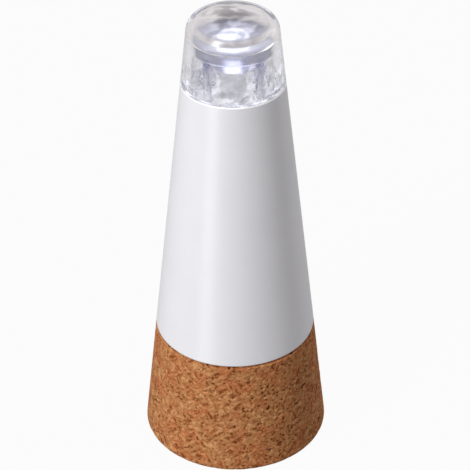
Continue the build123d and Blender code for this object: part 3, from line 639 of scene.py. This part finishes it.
def section_line(mesh, corners, segments):
    """A wire section in the XZ plane from (radius, height, corner round) corners."""
    points = [Vector((radius, 0, height)) for radius, height, _ in corners]
    line = [mesh.verts.new(point) for point in points]
    for start, end in zip(line, line[1:]):
        mesh.edges.new((start, end))
    for index in range(1, len(corners) - 1):
        rounding = corners[index][2]
        if rounding:
            turn = (points[index] - points[index - 1]).angle(points[index + 1] - points[index])
            bmesh.ops.bevel(
                mesh,
                geom=[line[index]],
                offset=rounding * math.tan(turn / 2),
                affect="VERTICES",
                segments=segments,
                profile=0.5,
                material=-1,
            )


def spin_section(mesh, steps):
    """Turns the wire section in a mesh into a closed solid about the upright axis."""
    bmesh.ops.spin(
        mesh,
        geom=mesh.verts[:] + mesh.edges[:],
        cent=(0, 0, 0),
        axis=(0, 0, 1),
        angle=math.tau,
        steps=steps,
        use_merge=True,
    )
    bmesh.ops.remove_doubles(mesh, verts=mesh.verts, dist=0.001 * MM)
    bmesh.ops.recalc_face_normals(mesh, faces=mesh.faces)


def shade_smooth(mesh, crease=math.radians(30)):
    """Smooth faces, with edges kept sharp where they turn by more than a crease angle."""
    for face in mesh.faces:
        face.smooth = True
    for edge in mesh.edges:
        edge.smooth = edge.calc_face_angle(0) < crease


def add_piece(name, mesh, material, body, slot, *nodes):
    """Makes the finished piece, which rides on a body and stands for CAD nodes."""
    data = bpy.data.meshes.new(name)
    mesh.to_mesh(data)
    mesh.free()
    data.materials.append(material)
    piece = bpy.data.objects.new(name, data)
    bpy.context.scene.collection.objects.link(piece)
    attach(piece, body)
    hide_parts(*nodes)
    return piece


def dress(material, *nodes):
    """Gives CAD nodes their finish."""
    for node in nodes:
        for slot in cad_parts[node].material_slots:
            slot.material = material


def cork_hollow(point, cork):
    """Depth of the shallow dips and of the torn pores at a point, from nought to one each."""
    lying = Vector((point.x, point.y, GRAIN_SQUASH * point.z)) / cork.grain
    dip = max(0.0, noise.noise(lying))
    pore = noise.noise(PORE_FINENESS * lying + PORE_SHIFT)
    torn = pore + TEAR_SHARE * noise.noise(TEAR_FINENESS * lying)
    return dip, min(1.0, max(0.0, torn - cork.pore_rarity) * PORE_STEEPNESS)


def cork_mesh(cork):
    """The cork sleeve, turned, with shallow dips and torn pores sunk into its outside."""
    mesh = bmesh.new()
    bore = cork.bore_radius
    flange = FLANGE_RADIUS + cork.flange_gap
    step = CORK_TOP - cork.flange_drop
    corners = [
        (0, 0, 0),
        (cone_radius(0), 0, cork.foot_round),
        (cone_radius(CORK_TOP), CORK_TOP, cork.rim_round),
        (flange, CORK_TOP, 0),
        (flange, step, 0),
        (bore, step, 0),
        (bore, LINER_FLOOR, 0),
        (0, LINER_FLOOR, 0),
    ]
    section_line(mesh, corners, segments=5)
    spin_section(mesh, cork.facets)

    def on_side(edge):
        return all(math.hypot(*vert.co.xy) > flange + SIDE_MARGIN for vert in edge.verts)

    tall = 0.5 * CORK_TOP
    upright = [edge for edge in mesh.edges if on_side(edge) and edge.calc_length() > tall]
    spokes = [edge for edge in mesh.edges if min(vert.co.length for vert in edge.verts) == 0]
    bmesh.ops.subdivide_edges(mesh, edges=upright, cuts=cork.side_cuts, use_grid_fill=True)
    bmesh.ops.subdivide_edges(mesh, edges=spokes, cuts=cork.sole_cuts, use_grid_fill=True)
    layer = mesh.verts.layers.float.new("hollow")
    mesh.normal_update()
    sunk = []
    for vert in mesh.verts:
        if math.hypot(*vert.co.xy) > flange + HOLLOW_MARGIN or vert.co.z < SOLE_MARGIN:
            dip, pore = cork_hollow(vert.co, cork)
            depth = cork.dip_depth * dip + cork.pore_depth * pore
            vert[layer] = pore
            sunk.append((vert, vert.co - vert.normal * depth))
    for vert, place in sunk:
        vert.co = place
    shade_smooth(mesh, crease=math.radians(75))
    return mesh


def dome(top, side, lean, crown, rounding):
    """Section corners of a domed roof and of its rounded shoulder at a leaning side."""
    slope = math.asin((side - SHOULDER_SHARE * rounding) / crown)
    corner = crown * math.tan(slope / 2)
    run = (side - corner) / (1 - math.tan(lean) * math.tan(slope))
    return [(corner, top, crown), (corner + run, top - run * math.tan(slope), rounding)]


def cap_mesh(tip):
    """The clear tip: spigot, leaning bore, ledge over the collimator and domed roof."""
    mesh = bmesh.new()
    ledge = LENS_PEAK + tip.recess_depth - tip.recess_crown + tip.rim_gap
    ledge_radius = LENS_RADIUS + tip.rim_gap
    ceiling = ledge + tip.ceiling_rise
    ceiling_side = ledge_radius - tip.ledge_width
    spigot = BOARD_RADIUS + tip.spigot_gap
    spigot_bore = spigot - tip.spigot_wall
    corners = [
        (0, ceiling, 0),
        *dome(ceiling, ceiling_side, 0, tip.ceiling_radius, tip.ceiling_round),
        (ceiling_side, ledge, 0),
        (ledge_radius, ledge, 0),
        (spigot_bore, HOUSING_TOP, 0),
        (spigot_bore, BOARD_TOP, 0),
        (spigot, BOARD_TOP, 0),
        (spigot, HOUSING_TOP, 0),
        (SEAM_RADIUS, HOUSING_TOP, 0),
        *reversed(dome(TIP, cone_radius(TIP), tip.taper, tip.crown_radius, tip.shoulder_round)),
        (0, TIP, 0),
    ]
    section_line(mesh, corners, segments=16)
    spin_section(mesh, tip.facets)
    shade_smooth(mesh)
    return mesh


def collimator_mesh(tip):
    """The collimator: funnel side, wide rim, recess, rear pocket and legs to the board."""
    mesh = bmesh.new()
    rear = PACKAGE_TOP + tip.lens_lift
    recess = LENS_PEAK - tip.recess_crown
    front = recess + tip.recess_depth
    rim_bottom = front - tip.rim_thickness
    side = LENS_RADIUS - tip.side_step
    pocket = DOME_TOP + tip.pocket_gap
    chord = Vector((side - tip.rear_radius, rim_bottom - rear))
    bulge = Vector((chord.y, -chord.x)).normalized() * 2 * tip.side_bulge
    middle = Vector((tip.rear_radius + side, rear + rim_bottom)) / 2 + bulge
    half_turn = math.atan2(bulge.length, chord.length / 2)
    half_side = (middle - Vector((side, rim_bottom))).length
    side_round = FUNNEL_SHARE * half_side / math.tan(half_turn)
    corners = [
        (0, pocket, 0),
        (POCKET_SHARE * tip.pocket_radius, pocket, tip.pocket_radius),
        (tip.pocket_radius, pocket + tip.pocket_crown, 0),
        (tip.pocket_radius, rear, 0),
        (tip.rear_radius, rear, 0),
        (middle.x, middle.y, side_round),
        (side, rim_bottom, 0),
        (LENS_RADIUS, rim_bottom, 0),
        (LENS_RADIUS, front, 0),
        (tip.recess_radius, front, 0),
        (tip.recess_radius, recess, 0),
        (CROWN_SHARE * tip.recess_radius, LENS_PEAK, CROWN_BEND * tip.recess_radius),
        (0, LENS_PEAK, 0),
    ]
    section_line(mesh, corners, segments=16)
    spin_section(mesh, tip.facets)
    leg_height = rim_bottom - BOARD_TOP
    leg_circle = LENS_RADIUS - tip.leg_radius - tip.leg_edge
    for leg in range(tip.leg_count):
        turn = Matrix.Rotation(math.tau * (leg + 0.5) / tip.leg_count, 4, "Z")
        place = Matrix.Translation((leg_circle, 0, BOARD_TOP + leg_height / 2))
        bmesh.ops.create_cone(
            mesh,
            cap_ends=True,
            segments=32,
            radius1=tip.leg_radius,
            radius2=tip.leg_radius,
            depth=leg_height - tip.leg_gap,
            matrix=turn @ place,
        )
    shade_smooth(mesh)
    return mesh


def dome_mesh(tip):
    """The lamp's clear dome, a half ball over the phosphor."""
    mesh = bmesh.new()
    radius = DOME_TOP - PACKAGE_TOP
    corners = [
        (0, PACKAGE_TOP, 0),
        (radius, PACKAGE_TOP, 0),
        (radius, DOME_TOP, radius),
        (0, DOME_TOP, 0),
    ]
    section_line(mesh, corners, segments=16)
    spin_section(mesh, tip.facets // 2)
    shade_smooth(mesh)
    return mesh


class BOTTLE_LIGHT_OT_cork(bpy.types.Operator):
    """Builds the grained and pitted cork sleeve"""

    bl_idname = "bottle_light.cork"
    bl_label = "Cork Sleeve"

    def execute(self, context):
        cork = context.scene.bottle_light.cork
        mesh, material = cork_mesh(cork), cork_finish(cork)
        add_piece("cork_grained", mesh, material, "cork_base", "cork", "cork_sleeve")
        return {"FINISHED"}


class BOTTLE_LIGHT_OT_mouldings(bpy.types.Operator):
    """Finishes the white housing, end plate and liner, and the grey and black mouldings"""

    bl_idname = "bottle_light.mouldings"
    bl_label = "Moulded Plastics"

    def execute(self, context):
        plastic = context.scene.bottle_light.plastic
        lamp = context.scene.bottle_light.lamp
        satin = moulded_finish(
            "satin_white", plastic.white, roughness=0.45, texture=0.02, coat=0.2, turned=1.0
        )
        inside, rim = BOARD_TOP - HOUSING_DEPTH, HOUSING_TOP - RIM_DEPTH
        light_up(satin, lamp.spill_tone, lamp.spill, inside, SEAM_RADIUS - SKIN, rim=rim)
        matt = moulded_finish("matt_white", plastic.white, roughness=0.45, texture=0.08)
        grey = moulded_finish("fine_grey", plastic.grey, roughness=0.5, texture=0.1)
        black = moulded_finish("fine_black", plastic.black, roughness=0.45, texture=0.1)
        dress(satin, "housing_shell")
        dress(matt, "end_plate", "cork_liner")
        dress(grey, "button_cap", "switch_plunger", "cell_cradle")
        dress(black, "plug_tongue", "switch_case", "charge_chip")
        return {"FINISHED"}


class BOTTLE_LIGHT_OT_tip(bpy.types.Operator):
    """Builds the clear tip, its collimator and the lamp's dome, and lights the lamp"""

    bl_idname = "bottle_light.tip"
    bl_label = "Clear Tip and Lamp"

    def execute(self, context):
        tip = context.scene.bottle_light.tip
        lamp = context.scene.bottle_light.lamp
        recess = tip.recess_radius
        crown = LENS_PEAK - tip.recess_crown
        # The clear tip gets painted shade edge on, in roof clouds and in low streaks
        clear = clear_finish(
            "polished_clear", lamp, lamp.clear, ripple=0.25 * MM, blur=0.05, streak_bump_and_shade=1.0, roof_cloud_shade=1.0
        )
        # The collimator gets painted shade edge on, in a ring past its recess and on its rim
        lens = clear_finish(
            "clear_collimator", lamp, lamp.collimator, ripple=0.08 * MM, blur=0.24, ring=recess
        )
        lit = lamp_finish(lamp)
        ceramic = soft_finish("lamp_ceramic", lamp.ceramic, size=0.3 * MM, roughness=0.5)
        mask = soft_finish("white_solder_mask", lamp.mask, size=0.8 * MM, roughness=0.35)
        light_up(lens, lamp.glow, lamp.crown_glow, crown - SKIN, recess + SKIN, lamp.crown_halo)
        light_up(ceramic, lamp.glow, lamp.stem_spill, BOARD_TOP, BOARD_RADIUS)
        light_up(mask, lamp.spill_tone, lamp.spill, BOARD_TOP - BOARD_SKIN, BOARD_RADIUS)
        pieces = (
            ("tip_clear", cap_mesh, clear, "lens_cap"),
            ("collimator_clear", collimator_mesh, lens, "collimator_lens"),
            ("lamp_dome_lit", dome_mesh, lit, "led_dome"),
        )
        for name, shape, material, node in pieces:
            add_piece(name, shape(tip), material, "light_unit", "clear_plastic", node)
        dress(lit, "led_phosphor")
        dress(ceramic, "led_package")
        dress(mask, "led_board")
        return {"FINISHED"}


class BOTTLE_LIGHT_OT_metal(bpy.types.Operator):
    """Finishes the plug's shell and contacts, the screws, the switch cover and the cell's tabs"""

    bl_idname = "bottle_light.metal"
    bl_label = "Metal Parts"

    def execute(self, context):
        metal = context.scene.bottle_light.metal
        nickel = plated_finish("bright_nickel", metal.nickel, roughness=0.24, streak=0.12 * MM)
        gold = plated_finish("gold_flash", metal.gold, roughness=0.22, streak=0.1 * MM)
        dull = plated_finish("dull_nickel", metal.dull, roughness=0.35, streak=0.1 * MM)
        dress(nickel, "plug_shell", "end_plate_screws", "switch_cover")
        dress(gold, "plug_contacts")
        dress(dull, "battery_tabs")
        return {"FINISHED"}


class BOTTLE_LIGHT_OT_inside(bpy.types.Operator):
    """Finishes the boards, the cell and the leads inside the housing"""

    bl_idname = "bottle_light.inside"
    bl_label = "Boards, Cell and Leads"

    def execute(self, context):
        inside = context.scene.bottle_light.inside
        red_leads = ("battery_lead_red", "led_lead_red")
        black_leads = ("battery_lead_black", "led_lead_black")
        finishes = (
            ("green_solder_mask", inside.mask, 0.8 * MM, 0.4, ("base_board",)),
            ("chip_ceramic", inside.chip, 0.3 * MM, 0.55, ("board_passives",)),
            ("blue_shrink_wrap", inside.wrap, 4 * MM, 0.32, ("battery_cell",)),
            ("dark_foam", inside.foam, 0.15 * MM, 0.85, ("foam_pad",)),
            ("red_insulation", inside.red, 0.6 * MM, 0.45, red_leads),
            ("black_insulation", inside.black, 0.6 * MM, 0.45, black_leads),
        )
        for name, shade, size, roughness, nodes in finishes:
            dress(soft_finish(name, shade, size, roughness), *nodes)
        return {"FINISHED"}


def studio_world(stage):
    """Even light from the room, with a white surround for what the camera and gloss see."""
    world = bpy.data.worlds.new("studio")
    bpy.context.scene.world = world
    shading = Shading(world)
    seen, glossed = shading.sight()
    strength = stage.room + (1 - stage.room) * seen + (stage.gloss - stage.room) * glossed
    tone = shading.blend(seen, stage.room_tone, (1, 1, 1))
    shading.fill(shading.find("ShaderNodeBackground"), {"Color": tone, "Strength": strength})


def floor_finish(stage):
    """Pale floor that looks white to the camera and in gloss, and keeps the shadow."""
    matt = {"Base Color": (*stage.floor_tone, 1), "Roughness": 0.9}
    material, shading, shader = finish("pale_floor", matt)
    seen, glossed = shading.sight()
    whiteness = stage.floor_seen * seen + stage.floor_glossed * glossed
    white = shading.node("ShaderNodeEmission", inputs={"Color": (1, 1, 1, 1), "Strength": 1.0})
    lit = Signal(shading, shader.outputs[0])
    mixed = shading.node("ShaderNodeMixShader", inputs={0: whiteness, 1: lit, 2: white})
    shading.fill(shading.find("ShaderNodeOutputMaterial"), {"Surface": mixed})
    return material


def area_lamp(name, place, aim, width, height, power):
    """A soft rectangular lamp that shines at a point."""
    lamp = bpy.data.lights.new(name, "AREA")
    lamp.shape = "RECTANGLE"
    lamp.size = width
    lamp.size_y = height
    lamp.energy = power
    holder = bpy.data.objects.new(name, lamp)
    holder.location = place
    holder.rotation_euler = (Vector(aim) - Vector(place)).to_track_quat("-Z", "Y").to_euler()
    bpy.context.scene.collection.objects.link(holder)
    return holder


class BOTTLE_LIGHT_OT_stage(bpy.types.Operator):
    """Sets the floor, the lamps and the camera"""

    bl_idname = "bottle_light.stage"
    bl_label = "Studio Stage"

    def execute(self, context):
        scene = context.scene
        stage = scene.bottle_light.stage
        scene.view_settings.view_transform = "Standard"
        scene.cycles.max_bounces = stage.bounces
        scene.cycles.glossy_bounces = stage.bounces
        scene.cycles.transmission_bounces = stage.bounces
        studio_world(stage)

        mesh = bmesh.new()
        sunk = Matrix.Translation((0, 0, -stage.floor_gap))
        bmesh.ops.create_grid(mesh, x_segments=1, y_segments=1, size=stage.floor_size, matrix=sunk)
        data = bpy.data.meshes.new("floor")
        mesh.to_mesh(data)
        mesh.free()
        data.materials.append(floor_finish(stage))
        floor = bpy.data.objects.new("floor", data)
        scene.collection.objects.link(floor)

        aim = Vector((stage.aside, 0, stage.aim_height))
        key_size = (stage.key_width, stage.key_height)
        fill_size = (stage.fill_width, stage.fill_height)
        key = area_lamp("key", stage.key_place, aim, *key_size, stage.key_power)
        key.visible_transmission = False
        area_lamp("fill", stage.fill_place, aim, *fill_size, stage.fill_power)

        camera = bpy.data.objects.new("camera", bpy.data.cameras.new("camera"))
        scene.collection.objects.link(camera)
        back = Vector((0, -math.cos(stage.elevation), math.sin(stage.elevation)))
        camera.location = aim + back * stage.distance
        turned = Matrix.Rotation(stage.roll, 3, back) @ (-back).to_track_quat("-Z", "Y").to_matrix()
        camera.rotation_euler = turned.to_euler()
        camera.data.lens = stage.lens
        camera.data.clip_start = 0.01
        camera.data.clip_end = 20.0
        scene.camera = camera
        return {"FINISHED"}


class BOTTLE_LIGHT_PT_panel(bpy.types.Panel):
    """Lists the steps that dress the bottle light"""

    bl_idname = "BOTTLE_LIGHT_PT_panel"
    bl_label = "Cork Bottle Light"
    bl_space_type = "VIEW_3D"
    bl_region_type = "UI"
    bl_category = "Bottle Light"

    def draw(self, context):
        for step in STEPS:
            self.layout.operator(step.bl_idname)


STEPS = (
    BOTTLE_LIGHT_OT_cork,
    BOTTLE_LIGHT_OT_mouldings,
    BOTTLE_LIGHT_OT_tip,
    BOTTLE_LIGHT_OT_metal,
    BOTTLE_LIGHT_OT_inside,
    BOTTLE_LIGHT_OT_stage,
)
GROUPS = (
    CorkSettings,
    TipSettings,
    LampSettings,
    PlasticSettings,
    MetalSettings,
    InsideSettings,
    StageSettings,
    BottleLightSettings,
)
CLASSES = (*GROUPS, *STEPS, BOTTLE_LIGHT_PT_panel)


def register():
    for cls in CLASSES:
        bpy.utils.register_class(cls)
    bpy.types.Scene.bottle_light = PointerProperty(type=BottleLightSettings)


def unregister():
    del bpy.types.Scene.bottle_light
    for cls in reversed(CLASSES):
        bpy.utils.unregister_class(cls)


def main():
    register()
    bpy.ops.bottle_light.cork()
    bpy.ops.bottle_light.mouldings()
    bpy.ops.bottle_light.tip()
    bpy.ops.bottle_light.metal()
    bpy.ops.bottle_light.inside()
    bpy.ops.bottle_light.stage()


if __name__ == "__main__":
    main()
